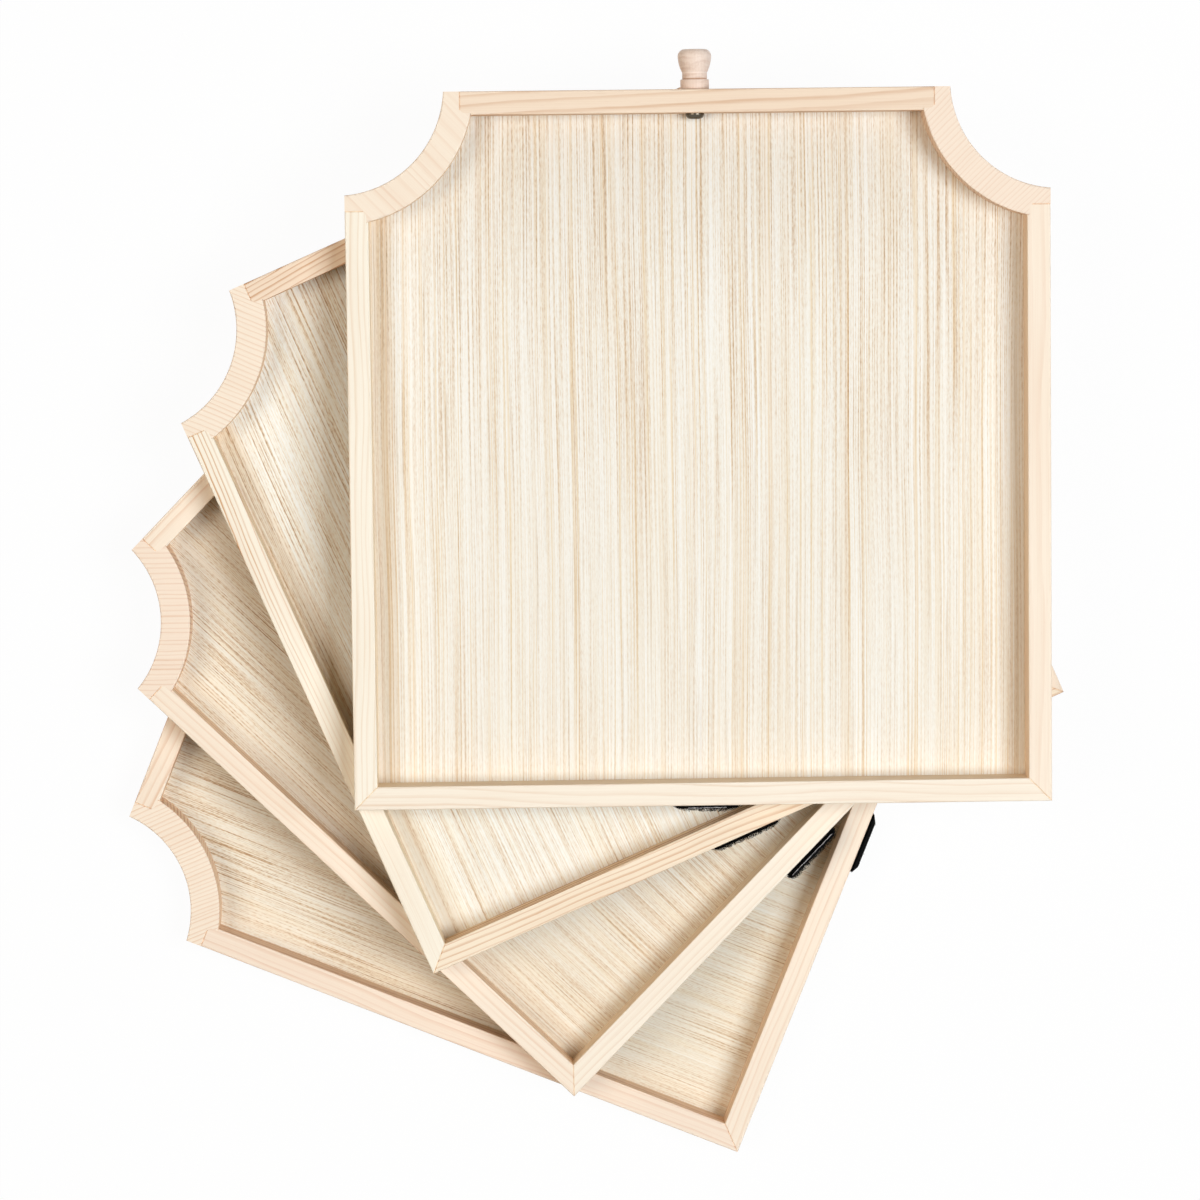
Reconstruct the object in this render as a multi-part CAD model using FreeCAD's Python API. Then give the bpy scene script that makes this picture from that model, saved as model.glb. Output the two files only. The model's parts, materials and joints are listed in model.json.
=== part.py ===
import FreeCAD, Part
import math
import os

# Four wooden puzzle trays, the drawers of a jigsaw table, lying on each other as an open fan.
# Every tray is the same: four pine rails and two curved corner blocks round a plywood bottom,
# a turned knob on a screw through the front rail, and a hook-and-loop pad on the back rail.
# Millimetres and degrees, +Z up. +X and +Y are the top tray's width and depth, with its knob
# towards +Y. The origin is on the floor, under the middle of the whole fan.
# A tray is first made in its own frame: its centre at x = 0, y = 0, its underside at z = 0.

# ---- driving dimensions: the tray's frame ----
TRAY_WIDTH = 300.0
TRAY_DEPTH = 306.0
TRAY_HEIGHT = 18.0
RAIL_WIDTH = 10.0
TOP_ARRIS = 0.6           # radius on the long top edges
FOOT_ARRIS = 0.3          # radius on the outer bottom edge
REBATE_WIDTH = 5.0        # ledge over the panel, under the inner side of rails and blocks

# ---- the scooped front corners ----
SCOOP_RADIUS = 46.0
SCOOP_OUT_X = 3.5         # scoop's centre beyond the tray's side
SCOOP_OUT_Y = 2.6         # scoop's centre beyond the tray's front
BLOCK_WIDTH = 12.8
BLOCK_TIP = 6.9           # from the block's pointed tip to the end of the rail
NOTCH_LIP = 0.9           # wood of the block left inside the end of the rail
NOTCH_RADIUS = 2.2        # cutter's radius in the notch that holds the rail's end
SEAM_WIDTH = 0.5          # eased V along each joint on the top face
SEAM_DEPTH = 0.35

# ---- plywood bottom ----
PANEL_THICKNESS = 3.0
PANEL_RECESS = 0.3        # panel's underside above the rails' underside
PANEL_CLEARANCE = 0.2     # round the panel's edge, in the rebate

# ---- knob and screw ----
KNOB_OFFSET = -0.6        # knob's axis, left of the tray's centre line
KNOB_LENGTH = 17.0
FOOT_RADIUS = 6.1         # the knob's short foot, against the rail
FOOT_LENGTH = 4.3
KNOB_EASE = 0.3           # eased edges of the foot
GROOVE_RADIUS = 5.0
GROOVE_WIDTH = 0.4
COLLAR_RADIUS = 5.3
COLLAR_END = 7.2          # distances from the rail's face
BULB_FLANK = (6.5, 10.2)  # (radius, distance)
BULB_WIDEST = (7.05, 13.2)
BULB_SHOULDER = (6.6, 15.8)
KNOB_TOP_RADIUS = 5.1
SCREW_RADIUS = 1.95
SCREW_HOLE_RADIUS = 2.2
SCREW_LENGTH = 20.0
SCREW_POINT = 2.5
SCREW_TIP_RADIUS = 0.4
HEAD_RADIUS = 4.0
HEAD_HEIGHT = 2.4
HEAD_RIM_HEIGHT = 0.6
HEAD_CROWN = (3.4, 1.75)  # (radius, height) half way over the rounded head
HEAD_FLAT_RADIUS = 2.3
DRIVE_SPAN = 4.2
DRIVE_WIDTH = 0.9
DRIVE_DEPTH = 1.5
DRIVE_TURN = 30.0

# ---- hook-and-loop pads on the back rails, from the top tray down ----
PAD_HEIGHT = 14.0
PAD_CORNER = 1.5
# (shift of the pad's middle to the right, its length, thickness of the hook half and of the loop
# half, taper of the loop half's ends); the third pad's halves are only lightly pressed together
PADS = (
    (1.6, 26.5, 1.2, 1.6, 4.0),
    (-1.0, 30.0, 1.2, 1.6, 3.0),
    (-0.4, 29.0, 2.1, 2.5, 2.5),
    (-1.2, 27.6, 1.2, 1.6, 3.0),
)

# ---- brads ----
BRAD_RADIUS = 0.6
BRAD_HEAD_RADIUS = 0.9
BRAD_HEAD_HEIGHT = 0.5
BRAD_PROUD = 0.1
PANEL_BRAD_LENGTH = 12.0
CORNER_BRAD_LENGTH = 20.0
PANEL_BRAD_SPACING = 90.0
SIDE_BRAD_BACKSET = 20.0  # the side rails' brads, nearer the back rail
FRONT_BRAD_X = 60.0
BRAD_LEVELS = (5.5, 12.5)

# ---- the fan: each tray turned about a point of the tray on top of it, from the top down ----
# (point's x and y in the upper tray's frame, turn of the lower tray)
FAN_TURNS = (
    (45.4, -112.6, 23.50),
    (64.4, -109.7, 22.26),
    (51.4, -114.6, 22.11),
)

# ---- worked out ----
HALF_WIDTH = TRAY_WIDTH / 2
HALF_DEPTH = TRAY_DEPTH / 2
INNER_X = HALF_WIDTH - RAIL_WIDTH
INNER_Y = HALF_DEPTH - RAIL_WIDTH
LEDGE_Z = PANEL_RECESS + PANEL_THICKNESS
SCOOP_X = HALF_WIDTH + SCOOP_OUT_X
SCOOP_Y = HALF_DEPTH + SCOOP_OUT_Y
INNER_RADIUS = SCOOP_RADIUS + BLOCK_WIDTH
TIP_X = SCOOP_X - math.sqrt(SCOOP_RADIUS ** 2 - SCOOP_OUT_Y ** 2)
TIP_Y = SCOOP_Y - math.sqrt(SCOOP_RADIUS ** 2 - SCOOP_OUT_X ** 2)
SEAM_X = TIP_X - BLOCK_TIP
SEAM_Y = TIP_Y - BLOCK_TIP
KNOB_Z = TRAY_HEIGHT / 2
UP = FreeCAD.Vector(0, 0, 1)
FORWARD = FreeCAD.Vector(0, 1, 0)
ORIGIN = FreeCAD.Vector(0, 0, 0)


def vector(x, y, z=0.0):
    return FreeCAD.Vector(x, y, z)


def rounded_outline(corners):
    """Closed wire in the XY plane through (x, y, radius) corners, each radius a tangent arc."""
    starts = []
    ends = []
    arcs = []
    count = len(corners)
    for i, (x, y, radius) in enumerate(corners):
        here = vector(x, y)
        back = (vector(*corners[i - 1][:2]) - here).normalize()
        ahead = (vector(*corners[(i + 1) % count][:2]) - here).normalize()
        half = back.getAngle(ahead) / 2
        reach = radius / math.tan(half)
        starts.append(here + back * reach)
        ends.append(here + ahead * reach)
        if radius:
            middle = here + (back + ahead).normalize() * (radius / math.sin(half) - radius)
            arcs.append(Part.Arc(starts[i], middle, ends[i]).toShape())
        else:
            arcs.append(None)
    edges = []
    for i in range(count):
        if arcs[i]:
            edges.append(arcs[i])
        following = starts[(i + 1) % count]
        if ends[i].distanceToPoint(following) > 1e-6:
            edges.append(Part.LineSegment(ends[i], following).toShape())
    return Part.Wire(edges)


def plan_prism(corners, low=0.0, high=TRAY_HEIGHT):
    """Upright prism on a plan outline of (x, y, radius) corners."""
    face = Part.Face(rounded_outline(corners))
    face.translate(UP * low)
    return face.extrude(UP * (high - low))


def rectangle(x0, x1, y0, y1):
    return [(x0, y0, 0), (x1, y0, 0), (x1, y1, 0), (x0, y1, 0)]


def edge_section(width):
    """Section of a rail or block in XY: x runs inwards from the outer face, y is the height."""
    ledge = width - REBATE_WIDTH
    corners = [
        (0, 0, FOOT_ARRIS),
        (ledge, 0, 0),
        (ledge, LEDGE_Z, 0),
        (width, LEDGE_Z, 0),
        (width, TRAY_HEIGHT, TOP_ARRIS),
        (0, TRAY_HEIGHT, TOP_ARRIS),
    ]
    face = Part.Face(rounded_outline(corners))
    face.rotate(ORIGIN, vector(1, 0, 0), 90)
    return face


def rail_bar(length, distance, turn):
    """Long bar with its outer face at a distance from the tray's centre, turned from the front."""
    face = edge_section(RAIL_WIDTH)
    face.rotate(ORIGIN, UP, -90)
    face.translate(vector(-length / 2, distance))
    bar = face.extrude(vector(length, 0))
    bar.rotate(ORIGIN, UP, turn)
    return bar


def seam_cut(x0, y0, x1, y1):
    """V-shaped groove cutter along a line on the top face."""
    run = vector(x1 - x0, y1 - y0)
    side = vector(-run.y, run.x).normalize() * (SEAM_WIDTH / 2)
    start = vector(x0, y0, TRAY_HEIGHT)
    wire = Part.makePolygon([start + side, start - side, start - UP * SEAM_DEPTH, start + side])
    return Part.Face(wire).extrude(run)


def side_mirror(shape):
    """The same piece on the tray's other side."""
    return shape.mirror(ORIGIN, vector(1, 0, 0))


def block_plan():
    """Full-height prism of the left corner block's plan: a ring cut by the tray's sides and
    notched for the ends of the rails."""
    ring = Part.makeCylinder(INNER_RADIUS, TRAY_HEIGHT, vector(-SCOOP_X, SCOOP_Y))
    ring = ring.cut(Part.makeCylinder(SCOOP_RADIUS, TRAY_HEIGHT, vector(-SCOOP_X, SCOOP_Y)))
    plan = ring.common(plan_prism(rectangle(-HALF_WIDTH, 0, 0, HALF_DEPTH)))
    notch_x = -(INNER_X + NOTCH_LIP)
    notch_y = INNER_Y + NOTCH_LIP
    side_notch = plan_prism([
        (-TRAY_WIDTH, 0, 0), (notch_x, 0, 0), (notch_x, SEAM_Y, NOTCH_RADIUS), (-TRAY_WIDTH, SEAM_Y, 0),
    ])
    front_notch = plan_prism([
        (-SEAM_X, notch_y, NOTCH_RADIUS), (0, notch_y, 0), (0, TRAY_DEPTH, 0), (-SEAM_X, TRAY_DEPTH, 0),
    ])
    return plan.cut(side_notch).cut(front_notch)


def block_seams():
    """Groove cutters along the left block's two joints, across the tops of the rails."""
    side = seam_cut(-HALF_WIDTH, SEAM_Y, -(INNER_X + NOTCH_RADIUS), SEAM_Y)
    front = seam_cut(-SEAM_X, HALF_DEPTH, -SEAM_X, INNER_Y + NOTCH_RADIUS)
    return [side, front]


def mitre_seam():
    return seam_cut(-HALF_WIDTH, -HALF_DEPTH, -INNER_X, -INNER_Y)


def cut_all(shape, tools):
    for tool in tools:
        shape = shape.cut(tool)
    return shape


def left_corner_block():
    face = edge_section(BLOCK_WIDTH)
    face.translate(vector(SCOOP_RADIUS, 0))
    ring = face.revolve(ORIGIN, UP, -180)
    ring.rotate(ORIGIN, UP, 45)
    ring.translate(vector(-SCOOP_X, SCOOP_Y))
    return cut_all(ring.common(block_plan()), block_seams())


def front_rail():
    bar = rail_bar(2 * SEAM_X, HALF_DEPTH, 0)
    left = [block_plan()] + block_seams()
    rail = cut_all(bar, left + [side_mirror(tool) for tool in left])
    hole_start = vector(KNOB_OFFSET, INNER_Y - 1, KNOB_Z)
    hole = Part.makeCylinder(SCREW_HOLE_RADIUS, RAIL_WIDTH + 2, hole_start, FORWARD)
    return rail.cut(hole)


def back_rail():
    bar = rail_bar(TRAY_WIDTH, HALF_DEPTH, 180)
    mitred = bar.common(plan_prism([
        (-HALF_WIDTH, -HALF_DEPTH, 0), (HALF_WIDTH, -HALF_DEPTH, 0),
        (INNER_X, -INNER_Y, 0), (-INNER_X, -INNER_Y, 0),
    ]))
    return cut_all(mitred, [mitre_seam(), side_mirror(mitre_seam())])


def left_rail():
    bar = rail_bar(TRAY_DEPTH, HALF_WIDTH, 90)
    mitred = bar.common(plan_prism([
        (-HALF_WIDTH, -HALF_DEPTH, 0), (-INNER_X, -INNER_Y, 0),
        (-INNER_X, SEAM_Y, 0), (-HALF_WIDTH, SEAM_Y, 0),
    ]))
    return cut_all(mitred, [block_plan(), mitre_seam()] + block_seams())


def bottom_panel():
    edge_x = HALF_WIDTH - RAIL_WIDTH + REBATE_WIDTH - PANEL_CLEARANCE
    edge_y = HALF_DEPTH - RAIL_WIDTH + REBATE_WIDTH - PANEL_CLEARANCE
    panel = plan_prism(rectangle(-edge_x, edge_x, -edge_y, edge_y), PANEL_RECESS, LEDGE_Z)
    radius = INNER_RADIUS - REBATE_WIDTH + PANEL_CLEARANCE
    scoop = Part.makeCylinder(radius, TRAY_HEIGHT, vector(-SCOOP_X, SCOOP_Y))
    return cut_all(panel, [scoop, side_mirror(scoop)])


def turned(profile):
    """Solid of revolution from a wire of (distance outwards, radius), its axis along +Y at z = 0."""
    face = Part.Face(profile)
    return face.revolve(ORIGIN, FORWARD, 360)


def knob():
    """Turned knob: a short foot, a groove, a collar and a bulb with a rounded top."""
    groove_end = FOOT_LENGTH + GROOVE_WIDTH
    corners = [
        ORIGIN, vector(FOOT_RADIUS - KNOB_EASE, 0), vector(FOOT_RADIUS, KNOB_EASE),
        vector(FOOT_RADIUS, FOOT_LENGTH - KNOB_EASE), vector(FOOT_RADIUS - KNOB_EASE, FOOT_LENGTH),
        vector(GROOVE_RADIUS, FOOT_LENGTH), vector(COLLAR_RADIUS, groove_end),
        vector(COLLAR_RADIUS, COLLAR_END),
    ]
    widest = vector(*BULB_WIDEST)
    top = vector(KNOB_TOP_RADIUS, KNOB_LENGTH)
    centre = vector(0, KNOB_LENGTH)
    edges = [Part.LineSegment(a, b).toShape() for a, b in zip(corners, corners[1:])]
    edges.append(Part.Arc(corners[-1], vector(*BULB_FLANK), widest).toShape())
    edges.append(Part.Arc(widest, vector(*BULB_SHOULDER), top).toShape())
    edges.append(Part.LineSegment(top, centre).toShape())
    edges.append(Part.LineSegment(centre, ORIGIN).toShape())
    shape = turned(Part.Wire(edges))
    shape.translate(vector(KNOB_OFFSET, HALF_DEPTH, KNOB_Z))
    return shape.cut(knob_screw_shank())


def knob_screw_shank():
    """Shank from the inner face of the front rail to its point inside the knob."""
    plain = SCREW_LENGTH - SCREW_POINT
    shank = Part.makeCylinder(SCREW_RADIUS, plain, ORIGIN, FORWARD)
    point = Part.makeCone(SCREW_RADIUS, SCREW_TIP_RADIUS, SCREW_POINT, FORWARD * plain, FORWARD)
    shape = shank.fuse(point).removeSplitter()
    shape.translate(vector(KNOB_OFFSET, INNER_Y, KNOB_Z))
    return shape


def knob_screw():
    """Pan-head screw with a cross recess; the head bears on the rail's inner face."""
    edge = vector(HEAD_RADIUS, 0)
    rim = vector(HEAD_RADIUS, -HEAD_RIM_HEIGHT)
    crown = vector(HEAD_CROWN[0], -HEAD_CROWN[1])
    flat = vector(HEAD_FLAT_RADIUS, -HEAD_HEIGHT)
    centre = vector(0, -HEAD_HEIGHT)
    head = turned(Part.Wire([
        Part.LineSegment(ORIGIN, edge).toShape(),
        Part.LineSegment(edge, rim).toShape(),
        Part.Arc(rim, crown, flat).toShape(),
        Part.LineSegment(flat, centre).toShape(),
        Part.LineSegment(centre, ORIGIN).toShape(),
    ]))
    recess = Part.makeCone(DRIVE_SPAN / 2, DRIVE_SPAN / 4, DRIVE_DEPTH, centre, FORWARD)
    wide = Part.makeBox(DRIVE_SPAN, DRIVE_DEPTH, DRIVE_WIDTH)
    wide.translate(vector(-DRIVE_SPAN / 2, -HEAD_HEIGHT, -DRIVE_WIDTH / 2))
    tall = wide.copy()
    tall.rotate(ORIGIN, FORWARD, 90)
    head = head.cut(recess.common(wide.fuse(tall)))
    head.rotate(ORIGIN, FORWARD, DRIVE_TURN)
    head.translate(vector(KNOB_OFFSET, INNER_Y, KNOB_Z))
    return head.fuse(knob_screw_shank()).removeSplitter()


def pad(length, thickness, offset, taper):
    """Flat pad on the back rail: its ends taper in plan, its face has rounded corners."""
    near = -HALF_DEPTH - offset
    far = near - thickness
    half = length / 2
    low = (TRAY_HEIGHT - PAD_HEIGHT) / 2
    plan = plan_prism([
        (-half, near, 0), (-half + taper, far, 0), (half - taper, far, 0), (half, near, 0),
    ], low, low + PAD_HEIGHT)
    face = Part.Face(rounded_outline([
        (-half, low, PAD_CORNER), (half, low, PAD_CORNER),
        (half, low + PAD_HEIGHT, PAD_CORNER), (-half, low + PAD_HEIGHT, PAD_CORNER),
    ]))
    face.rotate(ORIGIN, vector(1, 0, 0), 90)
    face.translate(vector(0, near))
    return plan.common(face.extrude(vector(0, far - near)))


def pads(number):
    """Hook half on the rail and loop half on the hook half."""
    shift, length, hook_thickness, loop_thickness, taper = PADS[number - 1]
    hook = pad(length, hook_thickness, 0, 0)
    loop = pad(length, loop_thickness, hook_thickness, taper)
    for half in (hook, loop):
        half.translate(vector(shift, 0))
    return hook, loop


def brad(head, direction, length):
    """Small nail: its head starts at a point, just outside the wood."""
    start = head - direction * BRAD_PROUD
    shank = Part.makeCylinder(BRAD_RADIUS, length, start, direction)
    cap = Part.makeCylinder(BRAD_HEAD_RADIUS, BRAD_HEAD_HEIGHT, start, direction)
    return shank.fuse(cap)


def panel_brads():
    """Brads up through the panel's edge into the ledge of every rail and block."""
    inset_x = HALF_WIDTH - RAIL_WIDTH + REBATE_WIDTH / 2
    inset_y = HALF_DEPTH - RAIL_WIDTH + REBATE_WIDTH / 2
    places = [(-FRONT_BRAD_X, inset_y), (FRONT_BRAD_X, inset_y)]
    for step in (-1, 0, 1):
        along = step * PANEL_BRAD_SPACING
        places.append((along, -inset_y))
        places += [(side * inset_x, along - SIDE_BRAD_BACKSET) for side in (-1, 1)]
    radius = INNER_RADIUS - REBATE_WIDTH / 2
    diagonal = radius * math.sqrt(0.5)
    places += [(side * (SCOOP_X - diagonal), SCOOP_Y - diagonal) for side in (-1, 1)]
    heads = [vector(x, y, PANEL_RECESS) for x, y in places]
    return Part.makeCompound([brad(head, UP, PANEL_BRAD_LENGTH) for head in heads])


def corner_brads():
    """Brads through the back mitres and, from inside each scoop, into the ends of the rails."""
    middle_x = HALF_WIDTH - RAIL_WIDTH / 2
    middle_y = HALF_DEPTH - RAIL_WIDTH / 2
    scoop_x = SCOOP_X - math.sqrt(SCOOP_RADIUS ** 2 - (SCOOP_Y - middle_y) ** 2)
    scoop_y = SCOOP_Y - math.sqrt(SCOOP_RADIUS ** 2 - (SCOOP_X - middle_x) ** 2)
    nails = []
    for side in (-1, 1):
        for level in BRAD_LEVELS:
            head = vector(side * middle_x, -HALF_DEPTH, level)
            nails.append(brad(head, FORWARD, CORNER_BRAD_LENGTH))
        head = vector(side * scoop_x, middle_y, KNOB_Z)
        nails.append(brad(head, vector(-side, 0), CORNER_BRAD_LENGTH))
        head = vector(side * middle_x, scoop_y, KNOB_Z)
        nails.append(brad(head, vector(0, -1), CORNER_BRAD_LENGTH))
    return Part.makeCompound(nails)


def tray_pieces(number):
    """Every piece of one tray, in the tray's own frame, by name."""
    block = left_corner_block()
    rail = left_rail()
    hook, loop = pads(number)
    return {
        "front_rail": front_rail(),
        "back_rail": back_rail(),
        "left_rail": rail,
        "right_rail": side_mirror(rail),
        "left_corner_block": block,
        "right_corner_block": side_mirror(block),
        "bottom_panel": bottom_panel(),
        "knob": knob(),
        "knob_screw": knob_screw(),
        "hook_pad": hook,
        "loop_pad": loop,
        "panel_brads": panel_brads(),
        "corner_brads": corner_brads(),
    }


def fan_placements():
    """Where each tray lies, from the top tray down: the top one is square, on the highest level."""
    placement = FreeCAD.Placement(vector(0, 0, len(FAN_TURNS) * TRAY_HEIGHT), FreeCAD.Rotation())
    placements = [placement]
    for x, y, turn in FAN_TURNS:
        about = FreeCAD.Placement(ORIGIN, FreeCAD.Rotation(UP, turn), vector(x, y))
        placement = placement.multiply(FreeCAD.Placement(UP * -TRAY_HEIGHT, FreeCAD.Rotation()))
        placement = placement.multiply(about)
        placements.append(placement)
    return placements


def whole_fan():
    """All pieces of all trays in place, by node name, with the origin under the fan's middle."""
    shapes = {}
    for number, placement in enumerate(fan_placements(), start=1):
        for name, shape in tray_pieces(number).items():
            placed = shape.copy()
            placed.Placement = placement.multiply(placed.Placement)
            shapes[f"tray_{number}_{name}"] = placed
    box = FreeCAD.BoundBox()
    for shape in shapes.values():
        box.add(shape.optimalBoundingBox(False, False))
    middle = vector(box.Center.x, box.Center.y)
    for shape in shapes.values():
        shape.translate(-middle)
    return shapes, middle


os.makedirs("parts", exist_ok=True)
NODES, FAN_MIDDLE = whole_fan()
for node, shape in NODES.items():
    shape.exportStep(f"parts/{node}.step")
print(len(NODES), "nodes; the fan's middle is at", FAN_MIDDLE, "from the top tray's centre")
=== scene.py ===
import json
import math

import bpy
from mathutils import Euler, Matrix, Vector

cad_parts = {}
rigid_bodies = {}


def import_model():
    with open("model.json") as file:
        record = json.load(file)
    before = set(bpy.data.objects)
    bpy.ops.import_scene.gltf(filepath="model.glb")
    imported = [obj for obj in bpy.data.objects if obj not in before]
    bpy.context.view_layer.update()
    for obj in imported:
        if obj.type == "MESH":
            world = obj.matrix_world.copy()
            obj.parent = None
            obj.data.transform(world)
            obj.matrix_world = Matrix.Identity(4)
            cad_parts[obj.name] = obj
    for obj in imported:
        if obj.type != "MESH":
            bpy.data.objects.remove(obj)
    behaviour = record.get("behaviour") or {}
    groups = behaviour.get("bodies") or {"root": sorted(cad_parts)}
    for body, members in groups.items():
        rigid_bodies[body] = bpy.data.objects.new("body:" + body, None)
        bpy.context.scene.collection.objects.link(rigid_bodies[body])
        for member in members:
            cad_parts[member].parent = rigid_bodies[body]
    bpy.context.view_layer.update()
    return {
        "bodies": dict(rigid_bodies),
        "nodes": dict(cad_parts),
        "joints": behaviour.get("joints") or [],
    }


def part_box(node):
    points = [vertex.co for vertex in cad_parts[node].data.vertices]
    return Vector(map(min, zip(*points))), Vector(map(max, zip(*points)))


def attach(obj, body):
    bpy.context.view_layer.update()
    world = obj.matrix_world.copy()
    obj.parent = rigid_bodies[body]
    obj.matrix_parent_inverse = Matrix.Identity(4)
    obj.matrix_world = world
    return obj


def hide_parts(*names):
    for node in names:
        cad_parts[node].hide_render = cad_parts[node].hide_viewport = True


# Four pine puzzle trays with veneered plywood bottoms, lying on each other as an open fan.
# The wood keeps its CAD shapes and gets its grain here; the hook-and-loop pads are made here.
# Metres. A pattern's place is given in millimetres, in the frame of its own stick of wood.

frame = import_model()

MM = 0.001
TRAY_COUNT = len(frame["bodies"])


# ---- where each tray lies ----

def square_tray_centre():
    """Middle of the underside of the top tray, which lies square in the shared frame."""
    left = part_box("tray_1_left_rail")[0]
    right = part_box("tray_1_right_rail")[1]
    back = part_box("tray_1_back_rail")[0]
    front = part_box("tray_1_front_rail")[1]
    return Vector(((left.x + right.x) / 2, (back.y + front.y) / 2, back.z))


def tray_frames():
    """Matrix of each tray's own frame, by tray number. A joint's upper limit squares a tray up
    with the tray below it, so it says how the tray below is turned, and about which point."""
    joints = {joint["name"]: joint for joint in frame["joints"]}
    frames = {1: Matrix.Translation(square_tray_centre())}
    for number in range(1, TRAY_COUNT):
        joint = joints[f"tray_{number}_turn"]
        pivot = Vector(joint["pos_m"])
        turn = Matrix.Rotation(math.radians(joint["range_deg"][1]), 4, "Z")
        about_pivot = Matrix.Translation(pivot) @ turn @ Matrix.Translation(-pivot)
        lower = about_pivot @ frames[number]
        lower.translation.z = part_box(f"tray_{number + 1}_back_rail")[0].z
        frames[number + 1] = lower
    return frames


TRAY_FRAMES = tray_frames()


def corners_in_tray(number, piece):
    """Mesh corners of a piece, in its tray's own frame."""
    to_tray = TRAY_FRAMES[number].inverted()
    return [to_tray @ v.co for v in frame["nodes"][f"tray_{number}_{piece}"].data.vertices]


def size_in_tray(number, piece):
    """Lowest and highest corner of a piece's box, in its tray's own frame."""
    corners = corners_in_tray(number, piece)
    low = Vector([min(c[axis] for c in corners) for axis in range(3)])
    high = Vector([max(c[axis] for c in corners) for axis in range(3)])
    return low, high


# ---- short ways to fill a node tree ----

class Web:
    """A node tree that is filled one node at a time."""

    def __init__(self, tree):
        self.tree = tree

    def feed(self, socket, value):
        """Links an output to a socket, or gives the socket a plain value."""
        if isinstance(value, bpy.types.NodeSocket):
            self.tree.links.new(value, socket)
        else:
            socket.default_value = value

    def add(self, kind, inputs, out=0, **settings):
        """Adds a node, sets it, feeds its inputs and returns one of its outputs."""
        node = self.tree.nodes.new(kind)
        for name, value in settings.items():
            setattr(node, name, value)
        for key, value in inputs.items():
            self.feed(node.inputs[key], value)
        return node.outputs[out]

    def maths(self, operation, *values):
        """Operation on numbers."""
        return self.add("ShaderNodeMath", dict(enumerate(values)), operation=operation)

    def vectors(self, operation, *values):
        """Operation on vectors."""
        return self.add("ShaderNodeVectorMath", dict(enumerate(values)), operation=operation)

    def parts(self, vector):
        """The x, y and z outputs of a vector."""
        node = self.tree.nodes.new("ShaderNodeSeparateXYZ")
        self.feed(node.inputs[0], vector)
        return node.outputs[0], node.outputs[1], node.outputs[2]

    def ramp(self, value, low, high, to_low=0.0, to_high=1.0, shape="SMOOTHSTEP"):
        """Goes from to_low to to_high while the value goes from low to high, and stays there."""
        return self.add("ShaderNodeMapRange", {
            "Value": value, "From Min": low, "From Max": high, "To Min": to_low, "To Max": to_high,
        }, interpolation_type=shape)

    def noise(self, place, grain, shift, detail=2.0):
        """Smooth noise whose cells are grain = (x, y, z) long; its values run from 0 to 1."""
        cells = self.vectors("DIVIDE", place, grain)
        moved = self.vectors("ADD", cells, shift)
        return self.add("ShaderNodeTexNoise", {"Vector": moved, "Scale": 1.0, "Detail": detail})

    def mix(self, share, first, second, blend_type="MIX"):
        """Colour between first and second."""
        node = self.tree.nodes.new("ShaderNodeMix")
        node.data_type = "RGBA"
        node.blend_type = blend_type
        self.feed(node.inputs[0], share)
        self.feed(node.inputs[6], first)
        self.feed(node.inputs[7], second)
        return node.outputs[2]

    def colours(self, value, stops):
        """Colour ramp through (position, colour) stops."""
        node = self.tree.nodes.new("ShaderNodeValToRGB")
        self.feed(node.inputs[0], value)
        elements = node.color_ramp.elements
        for element, (position, colour) in zip(elements, (stops[0], stops[-1])):
            element.position = position
            element.color = colour
        for position, colour in stops[1:-1]:
            elements.new(position).color = colour
        return node.outputs[0]


SOCKETS = {"place": "Vector", "colour": "Color"}


def socket_kind(name):
    """Socket type of a group's input or output, from the last word of its name."""
    return "NodeSocket" + SOCKETS.get(name.lower().split()[-1], "Float")


def shader_group(name, inputs, outputs):
    """Empty node group: its web, its inputs by name, and its output node."""
    tree = bpy.data.node_groups.new(name, "ShaderNodeTree")
    for label in inputs:
        tree.interface.new_socket(label, in_out="INPUT", socket_type=socket_kind(label))
    for label in outputs:
        tree.interface.new_socket(label, in_out="OUTPUT", socket_type=socket_kind(label))
    entry = tree.nodes.new("NodeGroupInput")
    return Web(tree), entry.outputs, tree.nodes.new("NodeGroupOutput")


def seed_shift(web, seed):
    """Vector that moves a noise to another part of itself, so that no two sticks are alike."""
    return web.add("ShaderNodeCombineXYZ", {
        0: web.maths("MULTIPLY", seed, 13.7),
        1: web.maths("MULTIPLY", seed, 7.3),
        2: web.maths("MULTIPLY", seed, 3.1),
    })


def linear(red, green, blue):
    """Colour from display values of 0 to 255."""
    def channel(value):
        value /= 255
        return value / 12.92 if value <= 0.04045 else ((value + 0.055) / 1.055) ** 2.4
    return channel(red), channel(green), channel(blue), 1.0


# ---- grain of the woods ----

FADE_ACROSS = (-2.0, 3.0)       # over which the lines fade across a stick, millimetres
FADE_ALONG = (-110.0, 90.0)     # and along it
BEND = 9.0                # how far the rings bend aside, millimetres
RIPPLE = 0.7              # and how far they ripple
GOOD_YEARS = 0.45         # share of a ring's spacing over which growth gets faster or slower
UNEVEN_RINGS = 1.7        # how far that moves an uneven ring, in rings
LINE_RISE = (0.3, 0.88)   # part of a year in which its dark line builds up
LINE_FALL = (0.9, 1.0)    # and in which it ends
WEAK_YEARS = 0.8          # how much of an uneven line a weak year takes away


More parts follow.
